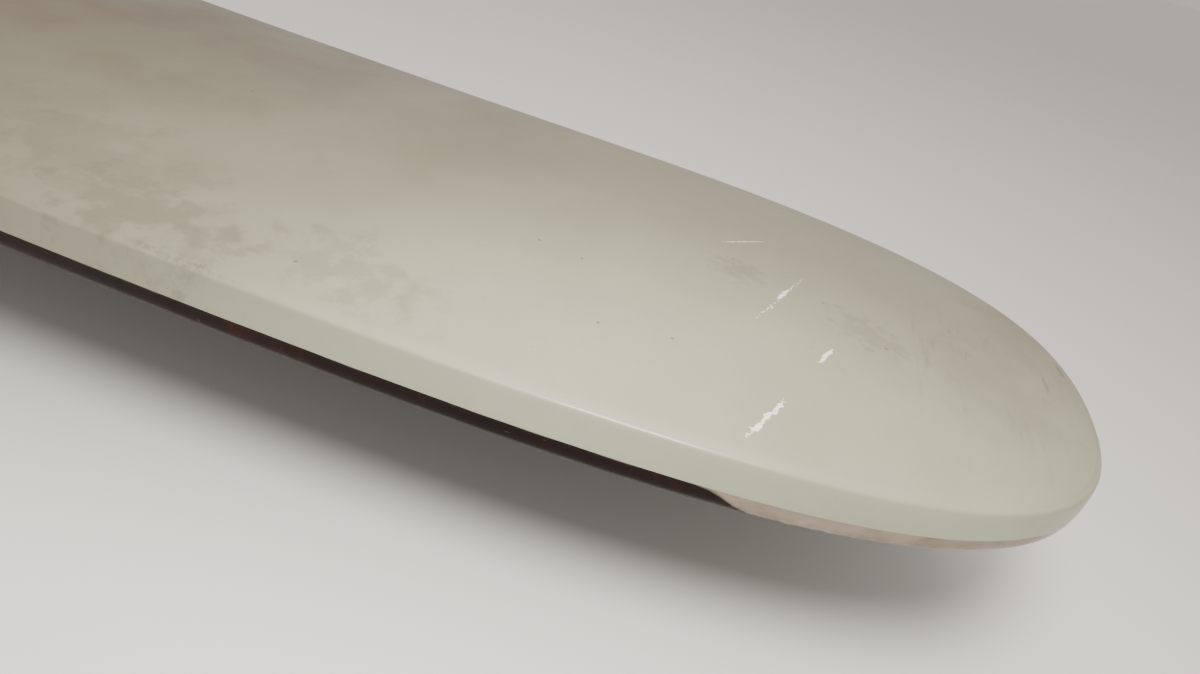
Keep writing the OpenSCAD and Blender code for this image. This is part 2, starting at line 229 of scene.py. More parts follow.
print("outline made:", len(rows), "rows")

# The middle line that each row runs in to: it stops short of both ends, so rows fan round them
noseFan = 0.30
tailFan = 0.16
spineX = rows[:, 0].copy()
noseRows = rowRun < noseFan
spineX[noseRows] = np.interp(rowRun[noseRows], [0, noseFan],
                             [boardShape["halfLength"] - 0.05, spineX[~noseRows][0]])
tailRows = rowRun > rowRun[-1] - tailFan
spineX[tailRows] = np.interp(rowRun[tailRows], [rowRun[-1] - tailFan, rowRun[-1]],
                             [spineX[~tailRows][-1], -boardShape["halfLength"] + 0.035])


def fanToSpine(startX, startY, heightAt, steps, crowding):
    shares = (np.arange(1, steps + 1) / steps) ** crowding
    xs = startX[:, None] + (spineX - startX)[:, None] * shares
    ys = startY[:, None] * (1 - shares)
    return xs, ys, heightAt(xs, ys)


# Mesh helpers
def meshObject(name, points, faces):
    mesh = bpy.data.meshes.new(name)
    mesh.from_pydata([tuple(p) for p in points], [], faces)
    mesh.validate()
    mesh.update()
    made = bpy.data.objects.new(name, mesh)
    bpy.context.scene.collection.objects.link(made)
    return made


def weld(obj, distance=0.02 * mm):
    work = bmesh.new()
    work.from_mesh(obj.data)
    bmesh.ops.remove_doubles(work, verts=work.verts, dist=distance)
    bmesh.ops.dissolve_degenerate(work, edges=work.edges, dist=distance / 4)
    bmesh.ops.recalc_face_normals(work, faces=work.faces)
    work.to_mesh(obj.data)
    work.free()


def applyModifiers(obj):
    bpy.context.view_layer.update()
    evaluated = obj.evaluated_get(bpy.context.evaluated_depsgraph_get())
    baked = bpy.data.meshes.new_from_object(evaluated)
    old = obj.data
    obj.modifiers.clear()
    obj.data = baked
    bpy.data.meshes.remove(old)


def cutWith(obj, cutters):
    for cutter in cutters:
        cut = obj.modifiers.new("cut", "BOOLEAN")
        cut.operation = "DIFFERENCE"
        cut.solver = "EXACT"
        cut.object = cutter
    applyModifiers(obj)
    for cutter in cutters:
        bpy.data.objects.remove(cutter)


def setMaterial(obj, material):
    obj.data.materials.clear()
    obj.data.materials.append(material)


def shadeSmooth(obj, degrees):
    obj.data.polygons.foreach_set("use_smooth", [True] * len(obj.data.polygons))
    obj.data.set_sharp_from_angle(angle=math.radians(degrees))


def gridFaces(rowCount, columnCount, base=0):
    faces = []
    for i in range(rowCount - 1):
        for j in range(columnCount - 1):
            a = base + i * columnCount + j
            faces.append((a, a + 1, a + columnCount + 1, a + columnCount))
    return faces


def prism(name, outline, low, high, place):
    # A straight-sided solid over a closed outline, put in place by a matrix
    count = len(outline)
    points = [place @ Vector((x, y, z)) for z in (low, high) for x, y in outline]
    faces = [tuple(range(count))[::-1], tuple(range(count, 2 * count))]
    faces += [(i, (i + 1) % count, count + (i + 1) % count, count + i) for i in range(count)]
    return meshObject(name, points, faces)


def oblong(length, width, steps=24):
    radius = width / 2
    centre = length / 2 - radius
    outline = []
    for side in (1, -1):
        for i in range(steps + 1):
            angle = math.pi * (i / steps - 0.5)
            outline.append((side * (centre + radius * math.cos(angle)), side * radius * math.sin(angle)))
    return outline


def circle(radius, steps=64):
    return [(radius * math.cos(2 * math.pi * i / steps), radius * math.sin(2 * math.pi * i / steps))
            for i in range(steps)]


def placeAt(x, y, z, tiltDegrees, turnDegrees=0, mirrorY=False):
    place = Matrix.Translation((x, y, z)) @ Matrix.Rotation(math.radians(tiltDegrees), 4, "Y")
    place = place @ Matrix.Rotation(math.radians(turnDegrees), 4, "Z")
    return place @ Matrix.Diagonal((1, -1 if mirrorY else 1, 1, 1))


# Sizes of the fittings, and where they stand in the board
fittings = {
    "boxLength": 0.285,
    "boxWidth": 0.026,
    "sideLength": 0.114,
    "sideWidth": 0.022,
    "cupRadius": 0.014,
    "skinGap": 0.1 * mm,     # how much wider than a fitting its hole in the skin is
}
centreBoxPlace = placeAt(-1.100, 0, 0.0280, 3.92956)
leashCupPlace = placeAt(-1.245, 0.024, 0.085927, -1.81454)


def boxOutline(extra):
    return oblong(fittings["boxLength"] + extra, fittings["boxWidth"] + extra)


def sideOutline(extra):
    return oblong(fittings["sideLength"] + extra, fittings["sideWidth"] + extra)


def cupOutline(extra):
    return circle(fittings["cupRadius"] + extra / 2)


def sideBoxPlace(side):
    return placeAt(-0.970, side * 0.140, 0.020214, 3.21721, -2 * side, side < 0)


# Shader helpers
def addNode(tree, kind, feeds=None, **settings):
    node = tree.nodes.new(kind)
    for key, value in settings.items():
        setattr(node, key, value)
    for key, value in (feeds or {}).items():
        if isinstance(value, bpy.types.NodeSocket):
            tree.links.new(value, node.inputs[key])
        else:
            node.inputs[key].default_value = value
    return node


def calc(tree, operation, first, second=0.0, clamp=False):
    feeds = {0: first, 1: second}
    return addNode(tree, "ShaderNodeMath", feeds, operation=operation, use_clamp=clamp).outputs[0]


def vectorCalc(tree, operation, first, second=(0, 0, 0)):
    return addNode(tree, "ShaderNodeVectorMath", {0: first, 1: second}, operation=operation)


def ramp(tree, value, fromLow, fromHigh, toLow=0.0, toHigh=1.0):
    feeds = {"Value": value, "From Min": fromLow, "From Max": fromHigh,
             "To Min": toLow, "To Max": toHigh}
    return addNode(tree, "ShaderNodeMapRange", feeds, interpolation_type="SMOOTHSTEP").outputs[0]


def tint(tree, factor, under, over):
    feeds = {0: factor, 6: under, 7: over}
    return addNode(tree, "ShaderNodeMix", feeds, data_type="RGBA").outputs[2]


def noise(tree, vector, scale, detail=3.0, rough=0.55, distortion=0.0, output="Fac"):
    feeds = {"Vector": vector, "Scale": scale, "Detail": detail, "Roughness": rough,
             "Distortion": distortion}
    return addNode(tree, "ShaderNodeTexNoise", feeds).outputs[output]


def scaled(tree, vector, factors):
    return vectorCalc(tree, "MULTIPLY", vector, factors).outputs[0]


def newGroup(name, inputs, outputs):
    group = bpy.data.node_groups.new(name, "ShaderNodeTree")
    for label, kind, value in inputs:
        socket = group.interface.new_socket(name=label, in_out="INPUT", socket_type="NodeSocket" + kind)
        socket.default_value = value
    for label, kind in outputs:
        group.interface.new_socket(name=label, in_out="OUTPUT", socket_type="NodeSocket" + kind)
    entry = group.nodes.new("NodeGroupInput")
    leave = group.nodes.new("NodeGroupOutput")
    return group, entry.outputs, leave.inputs


def useGroup(tree, group, feeds):
    node = tree.nodes.new("ShaderNodeGroup")
    node.node_tree = group
    for key, value in feeds.items():
        if isinstance(value, bpy.types.NodeSocket):
            tree.links.new(value, node.inputs[key])
        else:
            node.inputs[key].default_value = value
    return node.outputs


def newMaterial(name):
    material = bpy.data.materials.new(name)
    material.use_nodes = True
    tree = material.node_tree
    shader = tree.nodes["Principled BSDF"]
    place = addNode(tree, "ShaderNodeTexCoord").outputs["Object"]
    return material, tree, shader, place


def finishWith(tree, shader, colour=None, roughness=None, height=None, distance=0.001):
    if colour is not None:
        tree.links.new(colour, shader.inputs["Base Color"])
    if roughness is not None:
        tree.links.new(roughness, shader.inputs["Roughness"])
    if height is not None:
        feeds = {"Height": height, "Distance": distance, "Strength": 1.0}
        bump = addNode(tree, "ShaderNodeBump", feeds)
        tree.links.new(bump.outputs[0], shader.inputs["Normal"])


# Effects that several materials share
def makeSoftPatch():
    group, take, give = newGroup("softPatch", [
        ("Vector", "Vector", (0, 0, 0)), ("Centre", "Vector", (0, 0, 0)),
        ("Reach", "Vector", (0.1, 0.1, 1)), ("Turn", "Float", 0.0),
        ("Breakup", "Float", 0.5), ("Grain", "Float", 30.0)], [("Mask", "Float")])
    fromCentre = vectorCalc(group, "SUBTRACT", take["Vector"], take["Centre"]).outputs[0]
    turned = addNode(group, "ShaderNodeVectorRotate", {"Vector": fromCentre, "Angle": take["Turn"]},
                     rotation_type="Z_AXIS").outputs[0]
    shares = vectorCalc(group, "DIVIDE", turned, take["Reach"]).outputs[0]
    away = vectorCalc(group, "LENGTH", shares).outputs["Value"]
    ragged = noise(group, take["Vector"], take["Grain"], 5, 0.62)
    swing = calc(group, "MULTIPLY", calc(group, "SUBTRACT", ragged, 0.5), take["Breakup"])
    edge = calc(group, "ADD", away, calc(group, "MULTIPLY", swing, 4.0))
    group.links.new(ramp(group, edge, 1.15, 0.25), give["Mask"])
    return group


def makeStressCrack():
    group, take, give = newGroup("stressCrack", [
        ("Vector", "Vector", (0, 0, 0)), ("Start", "Vector", (0, 0, 0)), ("End", "Vector", (1, 0, 0)),
        ("Width", "Float", 0.001), ("Jagged", "Float", 0.004), ("Gaps", "Float", 0.3)],
        [("Mask", "Float")])
    wander = noise(group, take["Vector"], 210.0, 2, 0.6, output="Color")
    offset = vectorCalc(group, "SUBTRACT", wander, (0.5, 0.5, 0.5)).outputs[0]
    strayed = addNode(group, "ShaderNodeVectorMath", {0: offset, "Scale": take["Jagged"]},
                      operation="SCALE").outputs[0]
    moved = vectorCalc(group, "ADD", take["Vector"], strayed).outputs[0]
    fromStart = scaled(group, vectorCalc(group, "SUBTRACT", moved, take["Start"]).outputs[0], (1, 1, 0))
    along = vectorCalc(group, "SUBTRACT", take["End"], take["Start"]).outputs[0]
    reach = vectorCalc(group, "DOT_PRODUCT", fromStart, along).outputs["Value"]
    whole = vectorCalc(group, "DOT_PRODUCT", along, along).outputs["Value"]
    share = calc(group, "DIVIDE", reach, whole, clamp=True)
    nearest = addNode(group, "ShaderNodeVectorMath", {0: along, "Scale": share},
                      operation="SCALE").outputs[0]
    away = vectorCalc(group, "DISTANCE", fromStart, nearest).outputs["Value"]
    bulge = calc(group, "MULTIPLY", share, calc(group, "SUBTRACT", 1.0, share))
    taper = calc(group, "MULTIPLY", bulge, 3.2)
    width = calc(group, "MULTIPLY", take["Width"], calc(group, "ADD", taper, 0.25))
    line = ramp(group, calc(group, "DIVIDE", away, width), 1.0, 0.3)
    broken = noise(group, take["Vector"], 260.0, 2, 0.5)
    gapLow = calc(group, "SUBTRACT", take["Gaps"], 0.06)
    gapHigh = calc(group, "ADD", take["Gaps"], 0.06)
    keep = ramp(group, broken, gapLow, gapHigh)
    group.links.new(calc(group, "MULTIPLY", line, keep), give["Mask"])
    return group


def makeSpeckle():
    group, take, give = newGroup("speckle", [
        ("Vector", "Vector", (0, 0, 0)), ("Scale", "Float", 60.0), ("Size", "Float", 0.12),
        ("Share", "Float", 0.2)], [("Mask", "Float")])
    cells = addNode(group, "ShaderNodeTexVoronoi", {"Vector": take["Vector"], "Scale": take["Scale"]})
    pick = addNode(group, "ShaderNodeSeparateColor", {0: cells.outputs["Color"]}).outputs[0]
    chosen = calc(group, "LESS_THAN", pick, take["Share"])
    half = calc(group, "MULTIPLY", take["Size"], 0.4)
    dot = ramp(group, cells.outputs["Distance"], take["Size"], half)
    group.links.new(calc(group, "MULTIPLY", dot, chosen), give["Mask"])
    return group


def makeGlassWeave():
    group, take, give = newGroup("glassWeave", [
        ("Vector", "Vector", (0, 0, 0)), ("Threads", "Float", 700.0)], [("Height", "Float")])
    bent = noise(group, take["Vector"], 14.0, 2, 0.5, output="Color")
    soft = vectorCalc(group, "ADD", take["Vector"], scaled(group, bent, (0.004, 0.004, 0.0))).outputs[0]
    parts = addNode(group, "ShaderNodeSeparateXYZ", {0: soft})
    turns = calc(group, "MULTIPLY", take["Threads"], 2 * math.pi)
    warp = calc(group, "SINE", calc(group, "MULTIPLY", parts.outputs[0], turns))
    weft = calc(group, "SINE", calc(group, "MULTIPLY", parts.outputs[1], turns))
    group.links.new(calc(group, "MULTIPLY", warp, weft), give["Height"])
    return group


def makeHairScratches():
    group, take, give = newGroup("hairScratches", [
        ("Vector", "Vector", (0, 0, 0)), ("Turn", "Float", 0.3), ("Fineness", "Float", 300.0),
        ("Share", "Float", 0.3)], [("Mask", "Float"), ("Haze", "Float")])
    turned = addNode(group, "ShaderNodeVectorRotate", {"Vector": take["Vector"], "Angle": take["Turn"]},
                     rotation_type="Z_AXIS").outputs[0]
    drawn = scaled(group, turned, (0.035, 1.0, 1.0))
    lines = noise(group, drawn, take["Fineness"], 2, 0.5, 0.2)
    limit = calc(group, "SUBTRACT", 0.86, calc(group, "MULTIPLY", take["Share"], 0.4))
    where = ramp(group, noise(group, take["Vector"], 7.0, 3), 0.42, 0.62)
    marks = ramp(group, lines, limit, calc(group, "ADD", limit, 0.05))
    group.links.new(calc(group, "MULTIPLY", marks, where), give["Mask"])
    group.links.new(calc(group, "MULTIPLY", lines, where), give["Haze"])
    return group


def makeGlossSkin():
    group, take, give = newGroup("glossSkin", [
        ("Vector", "Vector", (0, 0, 0)), ("Ripple", "Float", 1.0), ("Peel", "Float", 0.3)],
        [("Height", "Float")])
    slow = calc(group, "MULTIPLY", noise(group, take["Vector"], 16.0, 2, 0.45), take["Ripple"])
    fine = calc(group, "MULTIPLY", noise(group, take["Vector"], 420.0, 2, 0.5), take["Peel"])
    group.links.new(calc(group, "ADD", slow, calc(group, "MULTIPLY", fine, 0.1)), give["Height"])
    return group


softPatch = makeSoftPatch()
stressCrack = makeStressCrack()
speckle = makeSpeckle()
glassWeave = makeGlassWeave()
hairScratches = makeHairScratches()
glossSkin = makeGlossSkin()
print("shared effects made")


# White resin
whiteResin = {
    "base": (0.400, 0.412, 0.305, 1),
    # brown for the cloudy aged tone, and also for the painted shade across the deck
    "agedAndShadeBrown": (0.140, 0.095, 0.063, 1),
    "grime": (0.105, 0.078, 0.056, 1),
    # near-white of the stress cracks: whitened crazing with a painted glint
    "crackWhiteAndGlint": (1.0, 0.985, 0.95, 1),
    "pit": (0.10, 0.075, 0.055, 1),
    "cool": (0.36, 0.41, 0.30, 1),
    "roughness": (0.26, 0.44),
    # centre, half sizes, turn in radians, strength, breakup, grain
    "smudges": [
        ((0.545, -0.243, 0), (0.10, 0.040, 1), 0.15, 0.34, 1.0, 44),
        ((0.470, -0.200, 0), (0.13, 0.055, 1), 0.30, 0.20, 1.0, 30),
        ((0.725, -0.222, 0), (0.075, 0.040, 1), 0.10, 0.24, 1.0, 44),
        ((1.012, -0.018, 0), (0.026, 0.030, 1), 0.50, 0.26, 0.8, 90),
        ((1.145, -0.045, 0), (0.042, 0.030, 1), 0.40, 0.24, 0.9, 90),
        ((1.265, -0.045, 0), (0.075, 0.090, 1), 0.35, 0.12, 0.8, 30),
        ((1.305, 0.110, 0), (0.060, 0.095, 1), 0.10, 0.16, 0.7, 22),
        ((0.300, 0.060, 0), (0.260, 0.200, 1), 0.20, 0.18, 0.8, 9),
        ((-0.350, 0.040, 0), (0.320, 0.170, 1), 0.05, 0.30, 0.9, 12),
        ((-0.900, -0.030, 0), (0.220, 0.120, 1), 0.10, 0.32, 0.9, 14),
    ],
    # start, end, width, jag, gaps
    "cracks": [
        ((1.056, -0.243, 0), (1.079, -0.187, 0), 0.0022, 0.0130, 0.22),
        ((1.100, -0.123, 0), (1.112, -0.095, 0), 0.0026, 0.0060, 0.34),
        ((1.040, -0.096, 0), (1.076, 0.016, 0), 0.0011, 0.0090, 0.46),
        ((1.056, -0.046, 0), (1.063, -0.022, 0), 0.0026, 0.0060, 0.34),
        ((0.987, 0.031, 0), (1.030, 0.075, 0), 0.0008, 0.0020, 0.40),
        ((-0.420, 0.120, 0), (-0.395, 0.185, 0), 0.0014, 0.0100, 0.32),
    ],
    "chips": [
        ((0.607, -0.2815, 0.0605), (0.052, 0.0055, 0.0045), 0.02, 0.75, 0.8, 160),
        ((1.3495, 0.0550, 0.0665), (0.0042, 0.020, 0.008), -0.08, 0.85, 0.8, 220),
        ((-0.620, 0.2775, 0.0624), (0.035, 0.0050, 0.0045), 0.03, 0.60, 0.8, 160),
    ],
    "pits": [
        (0.835, -0.094), (0.878, -0.099), (0.920, -0.180), (0.684, -0.238), (0.474, -0.003),
        (1.098, -0.020), (1.160, -0.060), (0.980, -0.165), (-0.150, 0.070), (-0.700, -0.120),
    ],
}


def makeWhiteResin():
    finish = whiteResin
    material, tree, shader, place = newMaterial("whiteResin")
    cloud = noise(tree, place, 2.4, 4, 0.6)
    colour = tint(tree, ramp(tree, cloud, 0.40, 0.78, 0.0, 0.30), finish["base"], finish["agedAndShadeBrown"])
    along = addNode(tree, "ShaderNodeSeparateXYZ", {0: place})
    # Painted shade: the deck darkens from the nose towards the middle of the board, and eases off again
    # towards the tail
    shadeTowardTail = ramp(tree, along.outputs[0], 0.95, 0.10, 0.0, 0.86)
    shadeEasingAtTail = ramp(tree, along.outputs[0], -0.70, 0.10, 0.45, 1.0)
    colour = tint(tree, calc(tree, "MULTIPLY", shadeTowardTail, shadeEasingAtTail), colour, finish["agedAndShadeBrown"])
    # Painted shade: the deck darkens across its width, away from the near rail
    shadeAwayFromNearRail = ramp(tree, along.outputs[1], -0.24, 0.10, 0.0, 0.50)
    colour = tint(tree, shadeAwayFromNearRail, colour, finish["agedAndShadeBrown"])
    cooler = ramp(tree, noise(tree, place, 5.5, 3), 0.42, 0.66, 0.0, 0.16)
    colour = tint(tree, cooler, colour, finish["cool"])
    dirt = None
    for centre, reach, turn, strength, breakup, grain in finish["smudges"]:
        feeds = {"Vector": place, "Centre": centre, "Reach": reach, "Turn": turn,
                 "Breakup": breakup, "Grain": grain}
        mask = calc(tree, "MULTIPLY", useGroup(tree, softPatch, feeds)["Mask"], strength)
        dirt = mask if dirt is None else calc(tree, "MAXIMUM", dirt, mask)
    # Wiped streaks near the nose, and a thin film of dust everywhere
    wipe = scaled(tree, place, (1.0, 0.16, 0.3))
    wiped = ramp(tree, noise(tree, wipe, 95.0, 4, 0.6), 0.52, 0.72)
    feeds = {"Vector": place, "Centre": (1.275, -0.02, 0), "Reach": (0.10, 0.15, 1),
             "Turn": 0.2, "Breakup": 0.5, "Grain": 12.0}
    wipeArea = useGroup(tree, softPatch, feeds)["Mask"]
    streaks = calc(tree, "MULTIPLY", calc(tree, "MULTIPLY", wiped, wipeArea), 0.42)
    dirt = calc(tree, "MAXIMUM", dirt, streaks)
    film = ramp(tree, noise(tree, place, 70.0, 6, 0.7), 0.50, 0.80, 0.0, 0.10)
    dirt = calc(tree, "ADD", dirt, film, clamp=True)
    colour = tint(tree, dirt, colour, finish["grime"])
    feeds = {"Vector": place, "Scale": 34.0, "Size": 0.034, "Share": 0.10}
    pits = useGroup(tree, speckle, feeds)["Mask"]
    for x, y in finish["pits"]:
        feeds = {"Vector": scaled(tree, place, (1, 1, 0)), "Centre": (x, y, 0),
                 "Reach": (0.0020, 0.0016, 1), "Breakup": 0.2, "Grain": 400.0}
        pits = calc(tree, "MAXIMUM", pits, useGroup(tree, softPatch, feeds)["Mask"])
    for centre, reach, turn, strength, breakup, grain in finish["chips"]:
        feeds = {"Vector": place, "Centre": centre, "Reach": reach, "Turn": turn,
                 "Breakup": breakup, "Grain": grain}
        chip = calc(tree, "MULTIPLY", useGroup(tree, softPatch, feeds)["Mask"], strength)
        pits = calc(tree, "MAXIMUM", pits, calc(tree, "MULTIPLY", chip, 0.8))
    colour = tint(tree, calc(tree, "MULTIPLY", pits, 0.75), colour, finish["pit"])
    cracks = None
    for start, end, width, jag, gaps in finish["cracks"]:
        feeds = {"Vector": place, "Start": start, "End": end,
                 "Width": width, "Jagged": jag, "Gaps": gaps}
        mask = useGroup(tree, stressCrack, feeds)["Mask"]
        cracks = mask if cracks is None else calc(tree, "MAXIMUM", cracks, mask)
    # The stress cracks are painted near-white: whitened crazing with a painted glint along them
    colour = tint(tree, cracks, colour, finish["crackWhiteAndGlint"])
    feeds = {"Vector": place, "Turn": 0.5, "Fineness": 520.0, "Share": 0.35}
    hair = useGroup(tree, hairScratches, feeds)
    colour = tint(tree, calc(tree, "MULTIPLY", hair["Mask"], 0.16), colour, finish["grime"])
    low, high = finish["roughness"]
    dull = calc(tree, "ADD", calc(tree, "MULTIPLY", dirt, 0.30),
                calc(tree, "MULTIPLY", hair["Haze"], 0.10))
    worn = ramp(tree, noise(tree, place, 9.0, 4), 0.35, 0.7, low, high)
    rough = calc(tree, "ADD", worn, dull, clamp=True)
    skin = useGroup(tree, glossSkin, {"Vector": place, "Ripple": 0.55, "Peel": 0.30})["Height"]
    weave = useGroup(tree, glassWeave, {"Vector": place, "Threads": 640.0})["Height"]
    height = calc(tree, "ADD", skin, calc(tree, "MULTIPLY", weave, 0.006))
    height = calc(tree, "SUBTRACT", height, calc(tree, "MULTIPLY", pits, 0.30))
    height = calc(tree, "ADD", height, calc(tree, "MULTIPLY", cracks, 0.22))
    shader.inputs["Coat Weight"].default_value = 0.25
    shader.inputs["Coat Roughness"].default_value = 0.12
    finishWith(tree, shader, colour, rough, height, 0.0012)
    return material


# Tinted bottom resin, with the white lap that wraps under the nose
bottomResin = {
    "tint": (0.0070, 0.0004, 0.0004, 1),
    "bright": (0.034, 0.0026, 0.0020, 1),
    "shadowBlack": (0.0025, 0.0012, 0.0012, 1),
    # white lap under the nose, laid darker and pinker than the deck's white as painted shade with a painted
    # pink bounce of light
    "lap": (0.30, 0.245, 0.195, 1),
    "lapShade": (0.15, 0.108, 0.082, 1),
    "glint": (0.22, 0.05, 0.035, 1),
    "lapLineAndShade": (0.16, 0.12, 0.10, 1),
    "scratch": (0.42, 0.33, 0.28, 1),
    "lapStart": 0.345,       # the white lap starts to widen this far from the nose
    "lapFull": 0.200,
    "lapWidth": 0.060,
}


def makeBottomResin():
    finish = bottomResin
    material, tree, shader, place = newMaterial("bottomResin")
    girth = addNode(tree, "ShaderNodeAttribute", attribute_name="lapGirth").outputs["Fac"]
    parts = addNode(tree, "ShaderNodeSeparateXYZ", {0: place})
    fromNose = calc(tree, "SUBTRACT", boardShape["halfLength"], parts.outputs[0])
    width = ramp(tree, fromNose, finish["lapStart"], finish["lapFull"], -0.0002, finish["lapWidth"])
    wander = calc(tree, "MULTIPLY", calc(tree, "SUBTRACT", noise(tree, place, 26.0, 3), 0.5), 0.006)
    edge = calc(tree, "SUBTRACT", calc(tree, "ADD", girth, wander), width)
    tinted = ramp(tree, edge, -0.0010, 0.0014)
    mottle = ramp(tree, noise(tree, place, 24.0, 5, 0.65, 0.4), 0.48, 0.70)
    red = tint(tree, mottle, finish["tint"], finish["bright"])
    # Painted shade: random blotches darken the red resin towards black
    shadow = ramp(tree, noise(tree, place, 9.0, 4, 0.6), 0.45, 0.72, 0.0, 0.8)
    red = tint(tree, shadow, red, finish["shadowBlack"])
    feeds = {"Vector": place, "Scale": 46.0, "Size": 0.10, "Share": 0.10}
    glints = useGroup(tree, speckle, feeds)["Mask"]
    red = tint(tree, calc(tree, "MULTIPLY", glints, 0.25), red, finish["glint"])
    stain = ramp(tree, noise(tree, place, 30.0, 4, 0.6), 0.42, 0.75, 0.0, 0.55)
    # The lap's colour is painted shade with a pink bounce of light: darker and pinker than the deck's white
    lap = tint(tree, stain, finish["lap"], finish["lapShade"])
    # A dark line along the lap's edge: the resin's lap line, darkened further as painted shade
    nearEdge = ramp(tree, calc(tree, "ABSOLUTE", edge), 0.0035, 0.0, 0.0, 0.55)
    lap = tint(tree, nearEdge, lap, finish["lapLineAndShade"])
    colour = tint(tree, tinted, lap, red)
    hair = useGroup(tree, hairScratches, {"Vector": place, "Turn": 0.1, "Fineness": 480.0, "Share": 0.4})
    colour = tint(tree, calc(tree, "MULTIPLY", hair["Mask"], 0.18), colour, finish["scratch"])
    rough = ramp(tree, noise(tree, place, 12.0, 4), 0.35, 0.7, 0.16, 0.34)
    rough = calc(tree, "ADD", rough, calc(tree, "MULTIPLY", hair["Haze"], 0.12), clamp=True)
    skin = useGroup(tree, glossSkin, {"Vector": place, "Ripple": 0.9, "Peel": 0.3})["Height"]
    weave = useGroup(tree, glassWeave, {"Vector": place, "Threads": 620.0})["Height"]
    height = calc(tree, "ADD", skin, calc(tree, "MULTIPLY", weave, 0.008))
    step = calc(tree, "MULTIPLY", ramp(tree, edge, 0.0016, -0.0016), 0.35)
    finishWith(tree, shader, colour, rough, calc(tree, "ADD", height, step), 0.0012)
    shader.inputs["Specular IOR Level"].default_value = 0.10
    return material


# Skins
skinPieces = {
    "deckSteps": 30,
    "bottomSteps": 22,
    "dents": 34,
    "dentDepth": (0.15 * mm, 0.5 * mm),
    "dentReach": (0.022, 0.060),
    "dentSeed": 8,
    "wrinkleDepth": 0.60 * mm,
    "wrinklePitch": 0.0105,
    "wrinkleLean": 1.1,
    "lapStep": 0.30 * mm,
    "chippedEdge": (0.607, 0.045, 0.55 * mm),    # middle, reach and depth along the near rail
}


def dentField(xs, ys):
    rng = np.random.default_rng(skinPieces["dentSeed"])
    depth = np.zeros_like(xs)
    for _ in range(skinPieces["dents"]):
        x = rng.uniform(-1.15, 1.30)
        y = rng.uniform(-0.23, 0.23)
        reach = rng.uniform(*skinPieces["dentReach"])
        deep = rng.uniform(*skinPieces["dentDepth"])
        away = np.hypot((xs - x) / (reach * 1.4), (ys - y) / reach)
        depth += deep * np.exp(-1.6 * away ** 2)
    return depth


def ripple(xs):
    # Slow unevenness of a hand-sanded rail
    return (0.12 * np.sin(23 * xs + 0.6) + 0.09 * np.sin(51 * xs + 2.1) + 0.05 * np.sin(118 * xs)) * mm


def mirrored(xs, ys, zs):
    grid = np.stack([xs, ys, zs], -1)
    other = grid * np.array([1, -1, 1])
    return grid, other


def skinFrom(name, sides):
    points = []
    faces = []
    for index, grid in enumerate(sides):
        base = len(points)
        points += grid.reshape(-1, 3).tolist()
        made = gridFaces(grid.shape[0], grid.shape[1], base)
        faces += made if index == 0 else [face[::-1] for face in made]
    skin = meshObject(name, points, faces)
    weld(skin)
    return skin


def makeDeckSkin():
    first = lapPoint * stepsPerPoint
    fanX, fanY, fanZ = fanToSpine(edgeX, edgeY, deckAt, skinPieces["deckSteps"], 1.35)
    fanZ = fanZ - dentField(fanX, fanY)
    xs = np.hstack([railX[:, first:], fanX])
    ys = np.hstack([railY[:, first:], fanY])
    zs = np.hstack([railZ[:, first:], fanZ])
    far, near = mirrored(xs, ys, zs)
    # The knocked stretch of the near rail's deck edge
    middle, reach, depth = skinPieces["chippedEdge"]
    rng = np.random.default_rng(3)
    rough = rng.normal(0, 1, near.shape[:2])
    rough = (rough + np.roll(rough, 1, 0) + np.roll(rough, 1, 1) + np.roll(rough, -1, 0)) / 2
    edgeZ = (edgeBottom + edgeHeight)[:, None]
    onEdge = np.exp(-((xs - middle) / reach) ** 4) * np.exp(-((ys - edgeY[:, None]) / (4 * mm)) ** 2)
    onEdge *= np.exp(-((zs - edgeZ) / (2.5 * mm)) ** 2)
    near[:, :, 2] -= depth * onEdge * np.clip(rough, 0, 2)
    far[:, :, 1] -= ripple(xs) * smoothStep(ys, 0.24, 0.27)
    near[:, :, 1] += ripple(xs + 0.4) * smoothStep(ys, 0.24, 0.27)
    return skinFrom("deck_skin", [far, near])


